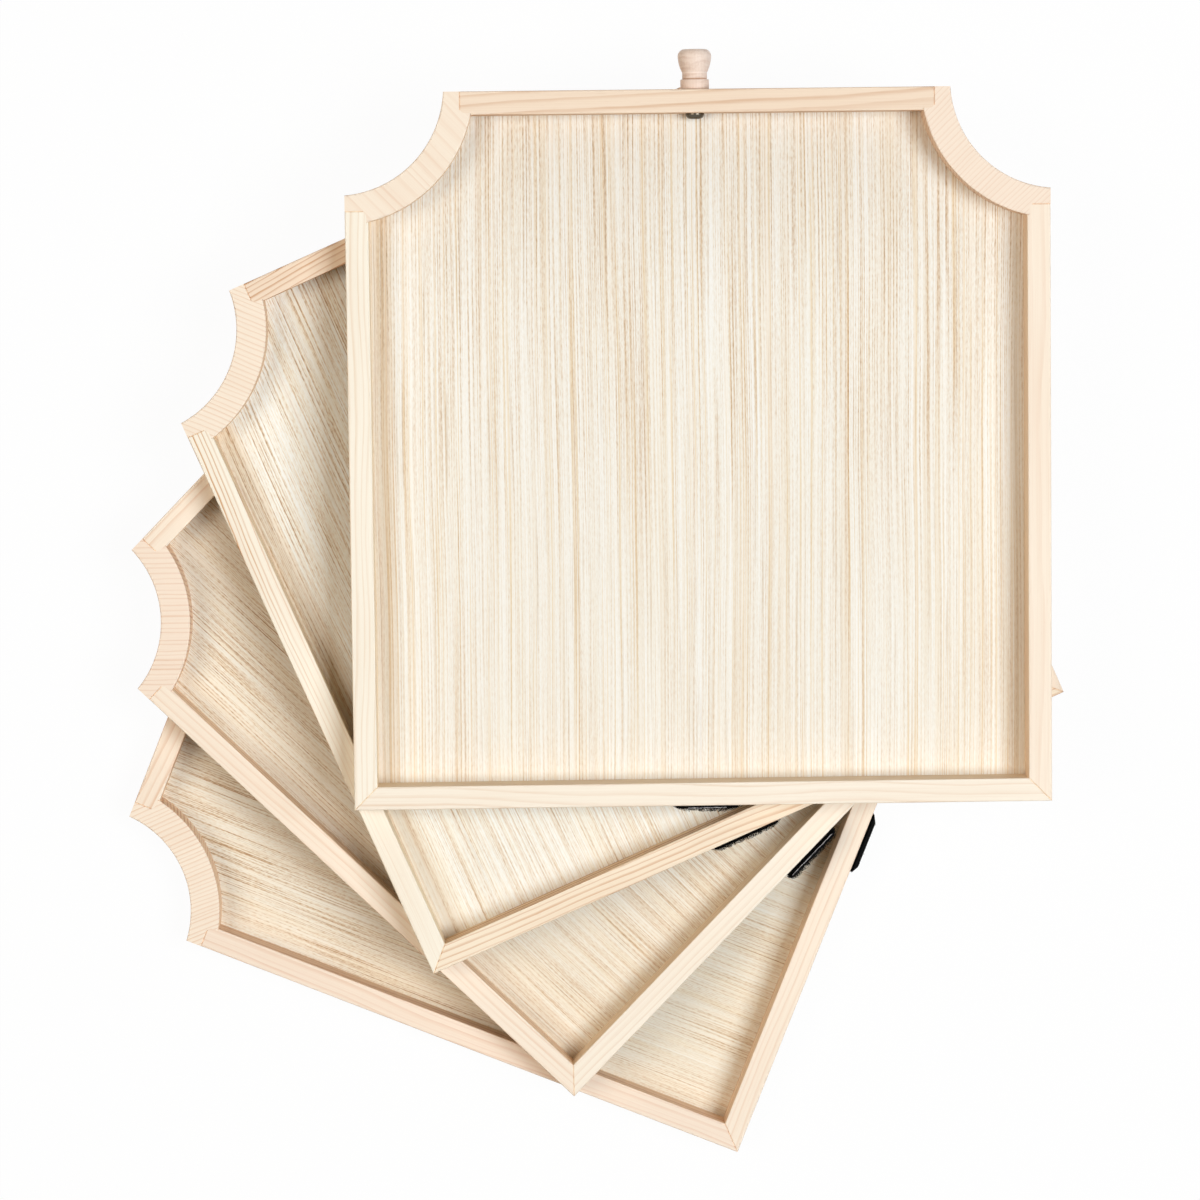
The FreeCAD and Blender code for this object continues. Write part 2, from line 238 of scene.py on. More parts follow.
def pine_grain():
    """Growth rings round a pith that runs along a stick's x, fine fibres and small flecks."""
    web, entry, exit_node = shader_group(
        "pine grain",
        ["Place", "Ring Spacing", "Pith Across", "Pith Below", "Slant", "Line Strength",
         "Sharpness", "Evenness", "Fade", "Fade Along", "Seed", "Early Wood Colour",
         "Late Wood Colour"],
        ["Colour", "Roughness", "Height"],
    )
    place = entry["Place"]
    shift = seed_shift(web, entry["Seed"])
    along, across, up = web.parts(place)
    paling = web.maths("MULTIPLY", web.maths("ABSOLUTE", entry["Fade"]), web.ramp(
        web.maths("MULTIPLY", across, entry["Fade"]), *FADE_ACROSS))
    paling_along = web.maths("MULTIPLY", web.maths("ABSOLUTE", entry["Fade Along"]), web.ramp(
        web.maths("MULTIPLY", along, entry["Fade Along"]), *FADE_ALONG))
    bend = web.maths("SUBTRACT", web.noise(place, (110, 40, 40), shift, 1.0), 0.5)
    ripple = web.maths("SUBTRACT", web.noise(place, (14, 5, 5), shift, 2.0), 0.5)
    across = web.maths("MULTIPLY_ADD", along, entry["Slant"], across)
    across = web.maths("MULTIPLY_ADD", bend, BEND, across)
    across = web.maths("MULTIPLY_ADD", ripple, RIPPLE, across)
    across = web.maths("SUBTRACT", across, entry["Pith Across"])
    up = web.maths("ADD", up, entry["Pith Below"])
    distance = web.maths("SQRT", web.maths(
        "ADD", web.maths("MULTIPLY", across, across), web.maths("MULTIPLY", up, up)))
    rings = web.maths("DIVIDE", distance, entry["Ring Spacing"])
    year = web.maths("MULTIPLY_ADD", entry["Seed"], 17.0, web.maths("MULTIPLY", rings, GOOD_YEARS))
    season = web.add("ShaderNodeTexNoise", {"W": year, "Scale": 1.0, "Detail": 1.0},
                     noise_dimensions="1D")
    unevenness = web.maths("SUBTRACT", 1.0, entry["Evenness"])
    rings = web.maths("MULTIPLY_ADD", season, web.maths("MULTIPLY", unevenness, UNEVEN_RINGS), rings)
    age = web.maths("FRACT", rings)
    count = web.maths("ADD", web.maths("FLOOR", rings), entry["Seed"])
    vigour = web.add("ShaderNodeTexWhiteNoise", {"W": count}, noise_dimensions="1D")
    thickening = web.maths("POWER", web.ramp(age, *LINE_RISE), entry["Sharpness"])
    line = web.maths("MULTIPLY", thickening, web.ramp(age, *LINE_FALL, 1.0, 0.0))
    line = web.maths("MULTIPLY", line, web.maths("SUBTRACT", 1.0, web.maths(
        "MULTIPLY", web.maths("MULTIPLY", vigour, unevenness), WEAK_YEARS)))
    line = web.maths("MULTIPLY", line, web.maths("SUBTRACT", 1.0, paling))
    line = web.maths("MULTIPLY", line, web.maths("SUBTRACT", 1.0, paling_along))
    fibre = web.noise(place, (60, 0.45, 0.45), shift, 2.0)
    thread = web.noise(place, (26, 1.6, 1.6), shift, 2.0)
    fleck = web.ramp(web.noise(place, (4.5, 0.3, 0.3), shift, 1.0), 0.66, 0.8)
    patch = web.noise(place, (90, 14, 14), shift, 1.0)
    share = web.maths("MULTIPLY", line, entry["Line Strength"])
    share = web.maths("MULTIPLY", share, web.ramp(thread, 0.25, 0.75, 0.65, 1.2, "LINEAR"))
    share = web.maths("ADD", share, web.ramp(fibre, 0.4, 0.8, 0.0, 0.16, "LINEAR"))
    share = web.maths("ADD", share, web.maths("MULTIPLY", fleck, 0.12))
    share = web.maths("ADD", share, web.ramp(patch, 0.45, 0.8, 0.0, 0.14, "LINEAR"))
    web.feed(exit_node.inputs["Colour"], web.mix(
        web.maths("MINIMUM", share, 1.0), entry["Early Wood Colour"], entry["Late Wood Colour"]))
    web.feed(exit_node.inputs["Roughness"], web.ramp(line, 0.0, 1.0, 0.62, 0.5))
    relief = web.maths("MULTIPLY_ADD", fibre, 0.6, line)
    web.feed(exit_node.inputs["Height"], web.maths("SUBTRACT", relief, fleck))
    return web.tree


VENEER_TONES = (
    (0.0, linear(186, 154, 122)), (0.25, linear(218, 195, 167)), (0.45, linear(236, 223, 205)),
    (0.62, linear(245, 239, 226)), (0.8, linear(250, 247, 238)), (1.0, linear(253, 252, 247)),
)
MIDDLE_TONE = 0.64        # where the veneer's mean tone lies on that scale
TAN = (0.91, 0.80, 0.66, 1)
GOLD = (0.87, 0.71, 0.49, 1)
GILD = (0.98, 0.91, 0.78, 1)
WHITE_THREAD = linear(255, 250, 240)
SCORE = (0.62, 0.47, 0.33, 1)
PORE = (0.62, 0.49, 0.36, 1)
# painted shade: tint of the veneer towards the front rail
FRONT_SHADE_TINT = (0.85, 0.83, 0.81, 1)
# painted shade: tint of the strip beside the left rail
LEFT_RAIL_SHADE_TINT = (0.975, 0.895, 0.81, 1)
FINER_FORWARD = (-80.0, 100.0)   # along a tray, millimetres: where the figure grows finer
FRONT_REACH = (50.0, 150.0)      # and where the painted shade at the front sets in
LEFT_RAIL_SHADE_EDGE = (-132.5, -129.0)     # across a tray: where the painted shade beside the left rail ends


def veneer_figure():
    """Straight lines of a sliced veneer along y: fine threads on a pale ground, tan streaks, gold
    and white threads, thin dark scores, pores and slow changes of tone, with painted shade towards
    the front rail and painted warm shade in a narrow strip along the left rail."""
    web, entry, exit_node = shader_group(
        "veneer figure", ["Place", "Contrast", "Fineness", "Fibre Length", "Whiteness", "Streaks",
                          "Blotches", "Front Shade", "Left Leaf", "Seed", "Tint Colour"],
        ["Colour", "Roughness", "Height"])
    shift = seed_shift(web, entry["Seed"])
    across, toward_front, _ = web.parts(entry["Place"])
    fineness = web.maths("MULTIPLY", entry["Fineness"], web.ramp(
        toward_front, *FINER_FORWARD, 0.8, 1.3))

    def other(*step):
        """Shift of a noise that has nothing in common with the others."""
        return web.vectors("ADD", shift, step)

    sway = web.maths("SUBTRACT", web.noise(entry["Place"], (90, 240, 50), shift, 1.0), 0.5)
    quiver = web.maths("SUBTRACT", web.noise(entry["Place"], (9, 34, 50), shift, 1.0), 0.5)
    drift = web.maths("ADD", web.maths("MULTIPLY", sway, 7.0), web.maths("MULTIPLY", quiver, 0.45))
    place = web.vectors("ADD", entry["Place"], web.add("ShaderNodeCombineXYZ", {0: drift}))
    fibre_cell = web.add("ShaderNodeCombineXYZ", {0: 0.46, 1: entry["Fibre Length"], 2: 60.0})
    fibre = web.noise(place, fibre_cell, shift, 0.0)
    hair = web.noise(place, (0.5, 160, 60), shift, 0.0)
    speck = web.noise(place, (0.42, 2.1, 60), shift, 1.0)
    thread = web.noise(place, (1.7, 260, 60), shift, 1.0)
    streak = web.noise(place, (3.6, 500, 60), shift, 1.0)
    band = web.noise(place, (9.0, 900, 60), shift, 1.0)

    def blend(*parts):
        """Sum of noises by weight, 0 on average."""
        total = -0.5 * sum(weight for _, weight in parts)
        for part, weight in parts:
            total = web.maths("MULTIPLY_ADD", part, weight, total)
        return total

    tone = web.maths("MULTIPLY_ADD", blend((fibre, 0.45), (hair, 0.34), (speck, 0.34)),
                     fineness, MIDDLE_TONE)
    tone = web.maths("MULTIPLY_ADD", blend((thread, 0.12), (streak, 0.11), (band, 0.09)),
                     entry["Contrast"], tone)
    blotch = web.noise(entry["Place"], (34, 90, 60), shift, 2.0)
    blotch = web.maths("MULTIPLY", web.ramp(blotch, 0.35, 0.65, -1.0, 1.0, "LINEAR"), entry["Blotches"])
    tone = web.maths("ADD", web.maths("ADD", tone, blotch), entry["Whiteness"])
    colour = web.colours(tone, VENEER_TONES)
    tan = web.ramp(web.noise(place, (1.3, 700, 60), other(5, 3, 1), 1.0), 0.5, 0.6)
    tan = web.maths("MULTIPLY", tan, web.ramp(web.noise(place, (13, 300, 60), other(9, 1, 5), 1.0),
                                              0.36, 0.6))
    tan = web.maths("MULTIPLY", tan, entry["Streaks"])
    colour = web.mix(tan, colour, TAN, "MULTIPLY")
    gold = web.ramp(web.noise(place, (0.75, 330, 60), other(2, 9, 4), 1.0), 0.6, 0.66)
    gold = web.maths("MULTIPLY", gold, web.maths("MULTIPLY", entry["Streaks"], 1.5))
    colour = web.mix(gold, colour, GOLD, "MULTIPLY")
    gild = web.ramp(web.noise(place, (5.0, 130, 60), other(3, 8, 2), 1.0), 0.48, 0.66)
    gild = web.maths("MULTIPLY", gild, web.maths("MULTIPLY", entry["Blotches"], 6.0))
    colour = web.mix(gild, colour, GILD, "MULTIPLY")
    white = web.ramp(web.noise(place, (0.6, 110, 60), other(7, 4, 8), 0.0), 0.6, 0.68)
    white = web.maths("MULTIPLY", white, web.maths("MULTIPLY", fineness, 0.2))
    colour = web.mix(web.maths("MINIMUM", white, 0.95), colour, WHITE_THREAD)
    score = web.ramp(web.noise(place, (0.6, 70, 60), other(4, 6, 9), 0.0), 0.7, 0.8)
    colour = web.mix(web.maths("MULTIPLY", score, 0.38), colour, SCORE, "MULTIPLY")
    pore = web.ramp(web.noise(place, (0.3, 3.0, 60), other(8, 2, 7), 1.0), 0.64, 0.76)
    colour = web.mix(web.maths("MULTIPLY", pore, 0.16), colour, PORE, "MULTIPLY")
    colour = web.mix(1.0, colour, entry["Tint Colour"], "MULTIPLY")
    # painted shade: the veneer darkens towards the front rail
    front_shade = web.maths("MULTIPLY", web.ramp(toward_front, *FRONT_REACH), entry["Front Shade"])
    colour = web.mix(front_shade, colour, FRONT_SHADE_TINT, "MULTIPLY")
    # painted shade: a warm, darker strip beside the left rail
    left_rail_shade = web.maths("MULTIPLY", web.ramp(across, *LEFT_RAIL_SHADE_EDGE, 1.0, 0.0), entry["Left Leaf"])
    colour = web.mix(left_rail_shade, colour, LEFT_RAIL_SHADE_TINT, "MULTIPLY")
    web.feed(exit_node.inputs["Colour"], colour)
    web.feed(exit_node.inputs["Roughness"], web.ramp(thread, 0.3, 0.7, 0.5, 0.66))
    relief = web.maths("MULTIPLY_ADD", hair, 0.8, web.maths("MULTIPLY", thread, 0.5))
    relief = web.maths("SUBTRACT", relief, pore)
    web.feed(exit_node.inputs["Height"], web.maths("SUBTRACT", relief, score))
    return web.tree


HEART_OFFSET = 21.0       # from the knob's axis to the middle of the rings, millimetres
RING_WAVES = 5.2          # radians of the rings' wave, for each millimetre


def close_grain():
    """Close-grained hardwood turned with its grain along y. It is darker in the groove, and a pale
    line along the ledge over it is a painted highlight, set off by a darker collar on the rail's side."""
    web, entry, exit_node = shader_group(
        "close grain", ["Place", "Groove", "Ledge", "Seed", "Wood Colour", "Dark Colour"],
        ["Colour", "Roughness", "Height"])
    place = entry["Place"]
    shift = seed_shift(web, entry["Seed"])
    across, along, up = web.parts(place)
    away = web.maths("SQRT", web.maths("ADD", web.maths(
        "POWER", web.maths("ADD", across, HEART_OFFSET), 2.0), web.maths("POWER", up, 2.0)))
    wave = web.maths("SINE", web.maths("MULTIPLY", away, RING_WAVES))
    fibre = web.noise(place, (0.3, 9, 0.3), shift, 2.0)
    pore = web.ramp(web.noise(place, (0.16, 1.6, 0.16), shift, 1.0), 0.62, 0.75)
    cloud = web.noise(place, (4.5, 1.3, 4.5), shift, 2.0)
    share = web.ramp(wave, -1.0, 1.0, 0.0, 0.06, "LINEAR")
    share = web.maths("ADD", share, web.ramp(cloud, 0.45, 0.75, 0.0, 0.32, "LINEAR"))
    share = web.maths("ADD", share, web.ramp(fibre, 0.35, 0.75, 0.0, 0.14, "LINEAR"))
    share = web.maths("MULTIPLY_ADD", pore, 0.25, share)
    off_groove = web.maths("ABSOLUTE", web.maths("SUBTRACT", along, entry["Groove"]))
    groove_darkening = web.ramp(off_groove, 0.1, 0.42, 0.5, 0.0)
    # painted highlight: a pale line along the ledge's edge; the collar between it and the rail is a
    # little darker to set it off
    off_ledge = web.maths("SUBTRACT", along, entry["Ledge"])
    share = web.maths("ADD", share, web.ramp(off_ledge, -0.3, -0.1, 0.14, 0.0))
    share = web.maths("MULTIPLY", share, web.ramp(
        web.maths("ABSOLUTE", off_ledge), 0.15, 0.4, 0.0, 1.0))
    share = web.maths("MINIMUM", web.maths("ADD", share, groove_darkening), 1.0)
    web.feed(exit_node.inputs["Colour"], web.mix(share, entry["Wood Colour"], entry["Dark Colour"]))
    web.feed(exit_node.inputs["Roughness"], web.ramp(fibre, 0.3, 0.7, 0.42, 0.55))
    web.feed(exit_node.inputs["Height"], web.maths("SUBTRACT", fibre, pore))
    return web.tree


PINE_GRAIN = pine_grain()
VENEER_FIGURE = veneer_figure()
CLOSE_GRAIN = close_grain()


# ---- materials ----

# painted shade: the pine's upright sides get a deeper, warmer tone than its top
SIDE_SHADE_TINT = (0.95, 0.92, 0.88, 1)
SIDE_LINES = 1.7          # how much stronger the rings' lines are on the upright sides
LEVEL = (0.4, 0.8)        # upright part of a face's normal: below it a side, given painted shade, above it the top


def blank_material(name):
    """New material: its web and its surface shader."""
    material = bpy.data.materials.new(name)
    material.use_nodes = True
    return material, Web(material.node_tree), material.node_tree.nodes["Principled BSDF"]


def wood_material(name, group, matrix, values, relief, side_shade=0.0):
    """Wood whose grain lies in the frame of its own stick, in millimetres. Its sides may be given
    a deeper, warmer tone than its top as painted shade, with its rings' lines shown more strongly."""
    material, web, surface = blank_material(name)
    coordinates = web.tree.nodes.new("ShaderNodeTexCoord").outputs
    place = web.add("ShaderNodeMapping", {
        "Vector": coordinates["Object"], "Location": matrix.to_translation(),
        "Rotation": matrix.to_euler(), "Scale": (MM, MM, MM),
    }, vector_type="TEXTURE")
    grain = web.tree.nodes.new("ShaderNodeGroup")
    grain.node_tree = group
    web.feed(grain.inputs["Place"], place)
    for label, value in values.items():
        web.feed(grain.inputs[label], value)
    levelness = web.maths("ABSOLUTE", web.parts(coordinates["Normal"])[2])
    colour = grain.outputs["Colour"]
    if side_shade:
        strength = values["Line Strength"]
        web.feed(grain.inputs["Line Strength"], web.ramp(
            levelness, *LEVEL, SIDE_LINES * strength, strength))
        # painted shade: the sides come out darker and warmer than the top
        side_shade_share = web.ramp(levelness, *LEVEL, side_shade, 0.0)
        colour = web.mix(side_shade_share, colour, web.mix(1.0, colour, SIDE_SHADE_TINT, "MULTIPLY"), "MULTIPLY")
    web.feed(surface.inputs["Base Color"], colour)
    web.feed(surface.inputs["Roughness"], grain.outputs["Roughness"])
    surface.inputs["Specular IOR Level"].default_value = 0.3
    web.feed(surface.inputs["Normal"], web.add("ShaderNodeBump", {
        "Height": grain.outputs["Height"], "Strength": 0.6, "Distance": relief}))
    return material


def bright_metal(name, colour, roughness, scratch):
    """Plated steel with fine scratches in its gloss."""
    material, web, surface = blank_material(name)
    coordinates = web.tree.nodes.new("ShaderNodeTexCoord").outputs["Object"]
    wear = web.noise(coordinates, (0.0006, 0.0002, 0.0006), (3.0, 1.0, 2.0), 3.0)
    dulled = tuple(0.6 * channel for channel in colour[:3]) + (1,)
    web.feed(surface.inputs["Base Color"], web.mix(
        web.ramp(wear, 0.4, 0.8, 0.0, 0.5, "LINEAR"), colour, dulled))
    surface.inputs["Metallic"].default_value = 1.0
    web.feed(surface.inputs["Roughness"], web.ramp(
        wear, 0.3, 0.7, roughness, roughness + scratch, "LINEAR"))
    web.feed(surface.inputs["Normal"], web.add("ShaderNodeBump", {
        "Height": wear, "Strength": 0.3, "Distance": 0.00001}))
    return material


def nylon_black_or_highlight(name, level, weave, gloss):
    """Nylon of a given level (black tapes; a pale thread for the painted highlight): a fine ribbed
    weave of the given pitch, dusty where the threads stand up.
    """
    material, web, surface = blank_material(name)
    coordinates = web.tree.nodes.new("ShaderNodeTexCoord").outputs["Object"]
    rib = web.maths("SINE", web.maths("MULTIPLY", web.parts(coordinates)[2], 2 * math.pi / weave))
    lint = web.noise(coordinates, (0.0004, 0.0004, 0.0004), (1.0, 4.0, 2.0), 3.0)
    pale = tuple(2.2 * level for _ in range(3)) + (1,)
    dark = (level, level, level * 1.05, 1)
    web.feed(surface.inputs["Base Color"], web.mix(web.ramp(lint, 0.5, 0.75), dark, pale))
    web.feed(surface.inputs["Roughness"], web.ramp(lint, 0.3, 0.7, 0.55, 0.8))
    surface.inputs["Specular IOR Level"].default_value = gloss
    web.feed(surface.inputs["Normal"], web.add("ShaderNodeBump", {
        "Height": web.maths("MULTIPLY_ADD", rib, 0.5, lint), "Strength": 0.5, "Distance": 0.00005}))
    return material


def finish(node, material):
    """Gives a CAD node's own object a material, on the slots that it has."""
    for slot in frame["nodes"][node].material_slots:
        slot.material = material


# ---- pine sticks ----
# (ring spacing, pith across and below, slant per millimetre, strength, sharpness and evenness of
# the lines, side on which they fade, end towards which they fade, tone)

IVORY = (linear(254, 247, 231), linear(228, 198, 164))
RUSSET = (linear(254, 247, 230), linear(208, 160, 112))
CREAM = (linear(252, 242, 225), linear(224, 190, 157))
BLUSH = (linear(251, 237, 218), linear(226, 188, 156))
ROSE = (linear(249, 232, 213), linear(224, 184, 154))
AMBER = (linear(251, 236, 212), linear(214, 168, 126))
HONEY = (linear(246, 226, 203), linear(208, 163, 124))

PLAIN_STICK = (2.6, -60, 30, 0.004, 0.35, 2.2, 0.3, 0, 0, BLUSH)
STICKS = {
    (1, "front_rail"): (3.2, -36, 24, -0.065, 0.5, 2.4, 0.2, 0, 0, HONEY),
    (1, "back_rail"): (1.7, 26, 40, 0.02, 0.45, 4.0, 0.35, 0, 0, CREAM),
    (1, "left_rail"): (2.3, -70, 20, 0.006, 0.4, 3.0, 0.6, 0, 0, IVORY),
    (1, "right_rail"): (3.0, 60, 50, 0.01, 0.22, 2.2, 0.3, 0, 0, BLUSH),
    (2, "front_rail"): (1.5, -30, 26, -0.09, 0.95, 3.0, 0.5, 0, 0, HONEY),
    (2, "back_rail"): (2.2, 60, 18, 0.022, 0.75, 2.8, 0.6, 0, 0, AMBER),
    (2, "left_rail"): (1.75, -60, 20, 0.012, 1.3, 3.6, 0.6, -0.5, -0.9, RUSSET),
    (3, "front_rail"): (4.1, -60, 30, 0.01, 0.6, 3.0, 0.2, 0, 0, BLUSH),
    (3, "back_rail"): (2.4, 60, 30, 0.01, 0.35, 2.2, 0.3, 0, 0, CREAM),
    (3, "left_rail"): (2.6, -60, 24, -0.01, 0.45, 2.2, 0.3, 0, 0, BLUSH),
    (4, "front_rail"): (2.8, 50, 22, 0.09, 0.75, 2.2, 0.3, 0, 0, BLUSH),
    (4, "back_rail"): (2.5, -60, 30, 0.008, 0.45, 2.2, 0.3, 0, 0, BLUSH),
    (4, "left_rail"): (2.2, 60, 24, 0.01, 0.45, 2.2, 0.3, 0, 0, ROSE),
    (1, "left_corner_block"): (4.6, -150, 14, 0.02, 0.3, 3.0, 0.2, 0, 0, BLUSH),
    (2, "left_corner_block"): (2.0, -150, 14, 0.01, 0.55, 4.0, 0.7, 0, 0, BLUSH),
    (3, "left_corner_block"): (2.3, 150, 14, 0.01, 0.55, 5.0, 0.35, 0, 0, ROSE),
    (4, "left_corner_block"): (1.8, -150, 14, 0.03, 0.6, 3.2, 0.6, 0, 0, BLUSH),
    (1, "right_corner_block"): (1.9, -150, 14, 0.02, 0.35, 4.0, 0.7, 0, 0, ROSE),
}
PLAIN_BLOCK = (2.2, -150, 14, 0.02, 0.6, 3.6, 0.7, 0, 0, BLUSH)
SIDE_SHADE = 0.7           # how far the sides take the deeper tone of the painted shade
PINE_RELIEF = 0.00004     # height of the grain's relief
VENEER_RELIEF = 0.00003
KNOB_RELIEF = 0.00002

# Middle of each stick in its tray's frame as shares of the half width and half depth, and the
# direction of its grain in degrees.
LIE = {
    "front_rail": (0, 1, 0),
    "back_rail": (0, -1, 0),
    "left_rail": (-1, 0, 90),
    "right_rail": (1, 0, 90),
    "left_corner_block": (-1, 1, -45),
    "right_corner_block": (1, 1, -135),
}


def stick_matrix(number, piece, half):
    """Frame of one stick: its x runs along the grain."""
    share_x, share_y, turn = LIE[piece]
    place = Matrix.Translation((share_x * half.x, share_y * half.y, 0))
    return TRAY_FRAMES[number] @ place @ Matrix.Rotation(math.radians(turn), 4, "Z")


def finish_pine(number, half):
    """Each rail and block of a tray gets a grain of its own."""
    for order, piece in enumerate(LIE):
        plain = PLAIN_BLOCK if "block" in piece else PLAIN_STICK
        (spacing, across, below, slant, strength, sharpness, evenness, fade, fade_along,
         (early, late)) = STICKS.get((number, piece), plain)
        material = wood_material(
            f"pine, tray {number} {piece.replace('_', ' ')}", PINE_GRAIN,
            stick_matrix(number, piece, half), {
                "Ring Spacing": spacing, "Pith Across": across, "Pith Below": below,
                "Slant": slant, "Line Strength": strength, "Sharpness": sharpness,
                "Evenness": evenness, "Fade": fade, "Fade Along": fade_along,
                "Seed": 3.0 * number + 0.37 * order,
                "Early Wood Colour": early, "Late Wood Colour": late,
            }, PINE_RELIEF, SIDE_SHADE)
        finish(f"tray_{number}_{piece}", material)


# ---- panels, knobs and metal ----

# (contrast, fineness, length of the fibres, whiteness, strength of the tan streaks, blotches, painted
#  shade at the front, painted warm shade along the left rail, tint) of each veneer
VENEERS = {
    1: (0.75, 1.85, 110, 0.02, 0.45, 0.03, 0.7, 1.0, (0.963, 0.961, 0.955, 1)),
    2: (0.25, 2.5, 60, 0.0, 0.16, 0.06, 0.0, 1.0, (0.947, 0.965, 0.965, 1)),
    3: (0.12, 2.5, 70, -0.01, 0.04, 0.05, 0.0, 0.4, (0.905, 0.867, 0.803, 1)),
    4: (0.12, 2.7, 60, 0.0, 0.07, 0.06, 0.0, 0.1, (0.893, 0.855, 0.781, 1)),
}


def finish_panel(number):
    """The veneer on a tray's plywood bottom."""
    contrast, fineness, length, whiteness, streaks, blotches, shade, left_shade, tint = VENEERS[number]
    material = wood_material(f"veneer, tray {number}", VENEER_FIGURE, TRAY_FRAMES[number], {
        "Contrast": contrast, "Fineness": fineness, "Fibre Length": length,
        "Whiteness": whiteness, "Streaks": streaks, "Blotches": blotches, "Front Shade": shade,
        "Left Leaf": left_shade, "Seed": 1.7 * number, "Tint Colour": tint}, VENEER_RELIEF)
    finish(f"tray_{number}_bottom_panel", material)


KNOB_GROOVE = 4.6         # from the rail's face, millimetres
KNOB_LEDGE = 7.2
KNOB_WOOD = linear(246, 227, 212)
KNOB_DARK = linear(198, 158, 130)


def finish_knob(number):
    """A knob's hardwood, with its grain along the knob's axis."""
    low, high = size_in_tray(number, "knob")
    base = Matrix.Translation(((low.x + high.x) / 2, low.y, (low.z + high.z) / 2))
    material = wood_material(
        f"turned hardwood, tray {number}", CLOSE_GRAIN, TRAY_FRAMES[number] @ base,
        {"Groove": KNOB_GROOVE, "Ledge": KNOB_LEDGE, "Seed": 2.3 * number,
         "Wood Colour": KNOB_WOOD, "Dark Colour": KNOB_DARK}, KNOB_RELIEF)
    finish(f"tray_{number}_knob", material)


# ---- hook-and-loop pads ----

def geometry_tree(name, inputs):
    """Empty geometry tree with named number inputs, a seed and a finish: web, inputs, output."""
    tree = bpy.data.node_groups.new(name, "GeometryNodeTree")
    tree.interface.new_socket("Geometry", in_out="INPUT", socket_type="NodeSocketGeometry")
    for label in inputs:
        tree.interface.new_socket(label, in_out="INPUT", socket_type="NodeSocketFloat")
    tree.interface.new_socket("Seed", in_out="INPUT", socket_type="NodeSocketInt")
    tree.interface.new_socket("Finish", in_out="INPUT", socket_type="NodeSocketMaterial")
    tree.interface.new_socket("Geometry", in_out="OUTPUT", socket_type="NodeSocketGeometry")
    entry = tree.nodes.new("NodeGroupInput")
    return Web(tree), entry.outputs, tree.nodes.new("NodeGroupOutput")


def join(web, *shapes):
    """Several shapes as one."""
    node = web.tree.nodes.new("GeometryNodeJoinGeometry")
    for shape in shapes:
        web.feed(node.inputs[0], shape)
    return node.outputs[0]


def rounded_sheet(web, length, height, corner):
    """Outline with rounded corners in the XY plane, and the flat sheet inside it."""
    outline = web.add("GeometryNodeCurvePrimitiveQuadrilateral", {"Width": length, "Height": height})
    outline = web.add("GeometryNodeFilletCurve", {"Curve": outline, "Radius": corner, "Count": 4},
                      mode="POLY")
    return outline, web.add("GeometryNodeFillCurve", {"Curve": outline}, mode="NGONS")


def backing(web, sheet, thickness):
    """Closed plate on a flat sheet."""
    lift = web.add("GeometryNodeExtrudeMesh", {
        "Mesh": sheet, "Offset": web.add("ShaderNodeCombineXYZ", {2: 1.0}),
        "Offset Scale": thickness, "Individual": False})
    under = web.add("GeometryNodeFlipFaces", {"Mesh": sheet})
    return web.add("GeometryNodeMergeByDistance", {"Geometry": join(web, lift, under),
                                                    "Distance": 0.000001})


def strand(web, curve, radius, sides):
    """Thread of round section along a curve."""
    section = web.add("GeometryNodeCurvePrimitiveCircle", {"Resolution": sides, "Radius": radius})
    return web.add("GeometryNodeCurveToMesh", {
        "Curve": curve, "Profile Curve": section, "Fill Caps": True})


def any_turn(web, lean, seed):
    """Random rotation: any way round z, and leaning over by up to the given angle."""
    low = web.add("ShaderNodeCombineXYZ", {0: web.maths("MULTIPLY", lean, -1.0),
                                           1: web.maths("MULTIPLY", lean, -1.0), 2: 0.0})
    high = web.add("ShaderNodeCombineXYZ", {0: lean, 1: lean, 2: 2 * math.pi})
    return web.add("FunctionNodeRandomValue", {0: low, 1: high, "Seed": seed},
                   data_type="FLOAT_VECTOR")


def any_size(web, least, most, seed):
    """Random size between the two given."""
    return web.add("FunctionNodeRandomValue", {2: least, 3: most, "Seed": seed}, out=1,
                   data_type="FLOAT")


def scatter(web, points, shape, turn, size):
    """A shape on each point, turned and sized."""
    return web.add("GeometryNodeInstanceOnPoints", {
        "Points": points, "Instance": shape, "Rotation": turn, "Scale": size})


def raised(web, shape, height):
    """A shape lifted along z."""
    return web.add("GeometryNodeTransform", {
        "Geometry": shape, "Translation": web.add("ShaderNodeCombineXYZ", {2: height})})


def end_tree(web, shape, finish_socket, exit_node):
    """Makes the instances real and gives the shape its material."""
    shape = web.add("GeometryNodeRealizeInstances", {"Geometry": shape})
    shape = web.add("GeometryNodeSetMaterial", {"Geometry": shape, "Material": finish_socket})
    web.feed(exit_node.inputs[0], shape)


